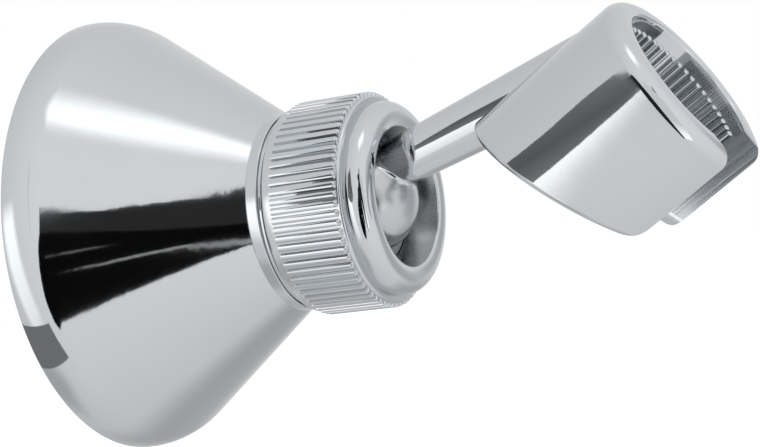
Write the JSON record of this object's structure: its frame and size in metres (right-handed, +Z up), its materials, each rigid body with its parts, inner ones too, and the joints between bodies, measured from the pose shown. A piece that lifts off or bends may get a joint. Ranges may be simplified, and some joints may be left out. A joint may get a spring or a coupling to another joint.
{
  "type": "hand shower holder",
  "caption": "Wall-mounted hand shower holder: chromed cone base, knurled clamp nut, ball-jointed arm and a ribbed slotted cradle for the handset.",
  "frame": {"origin": "centre of the wall plane, on the axis of the cone and the clamp nut", "axes": "+Y into the wall, the holder reaches out along -Y, +Z up, symmetric about the YZ plane"},
  "size_m": [0.07, 0.1038, 0.07],
  "materials": {
    "chrome": "polished, with the faint ripple of a plated moulding",
    "grip_nylon": "satin",
    "seat_rubber": "matte"
  },
  "bodies": {
    "base": {"wall_cone": "chrome", "seat_ring": "seat_rubber"},
    "nut": {"clamp_nut": "chrome"},
    "grip": {"grip_ring": "grip_nylon"},
    "arm": {"holder_arm": "chrome"}
  },
  "joints": [
    {"name": "nut_turn", "type": "hinge", "parent": "base", "child": "nut", "pos_m": [0, -0.04354, 0], "axis": [0, -1, 0], "range_deg": [0, 180]},
    {"name": "ball_swivel", "type": "hinge", "parent": "base", "child": "grip", "pos_m": [0, -0.04354, 0], "axis": [0, -1, 0], "continuous": true},
    {"name": "ball_tilt", "type": "hinge", "parent": "grip", "child": "arm", "pos_m": [0, -0.04354, 0], "axis": [-1, 0, 0], "range_deg": [-62, 1]}
  ]
}
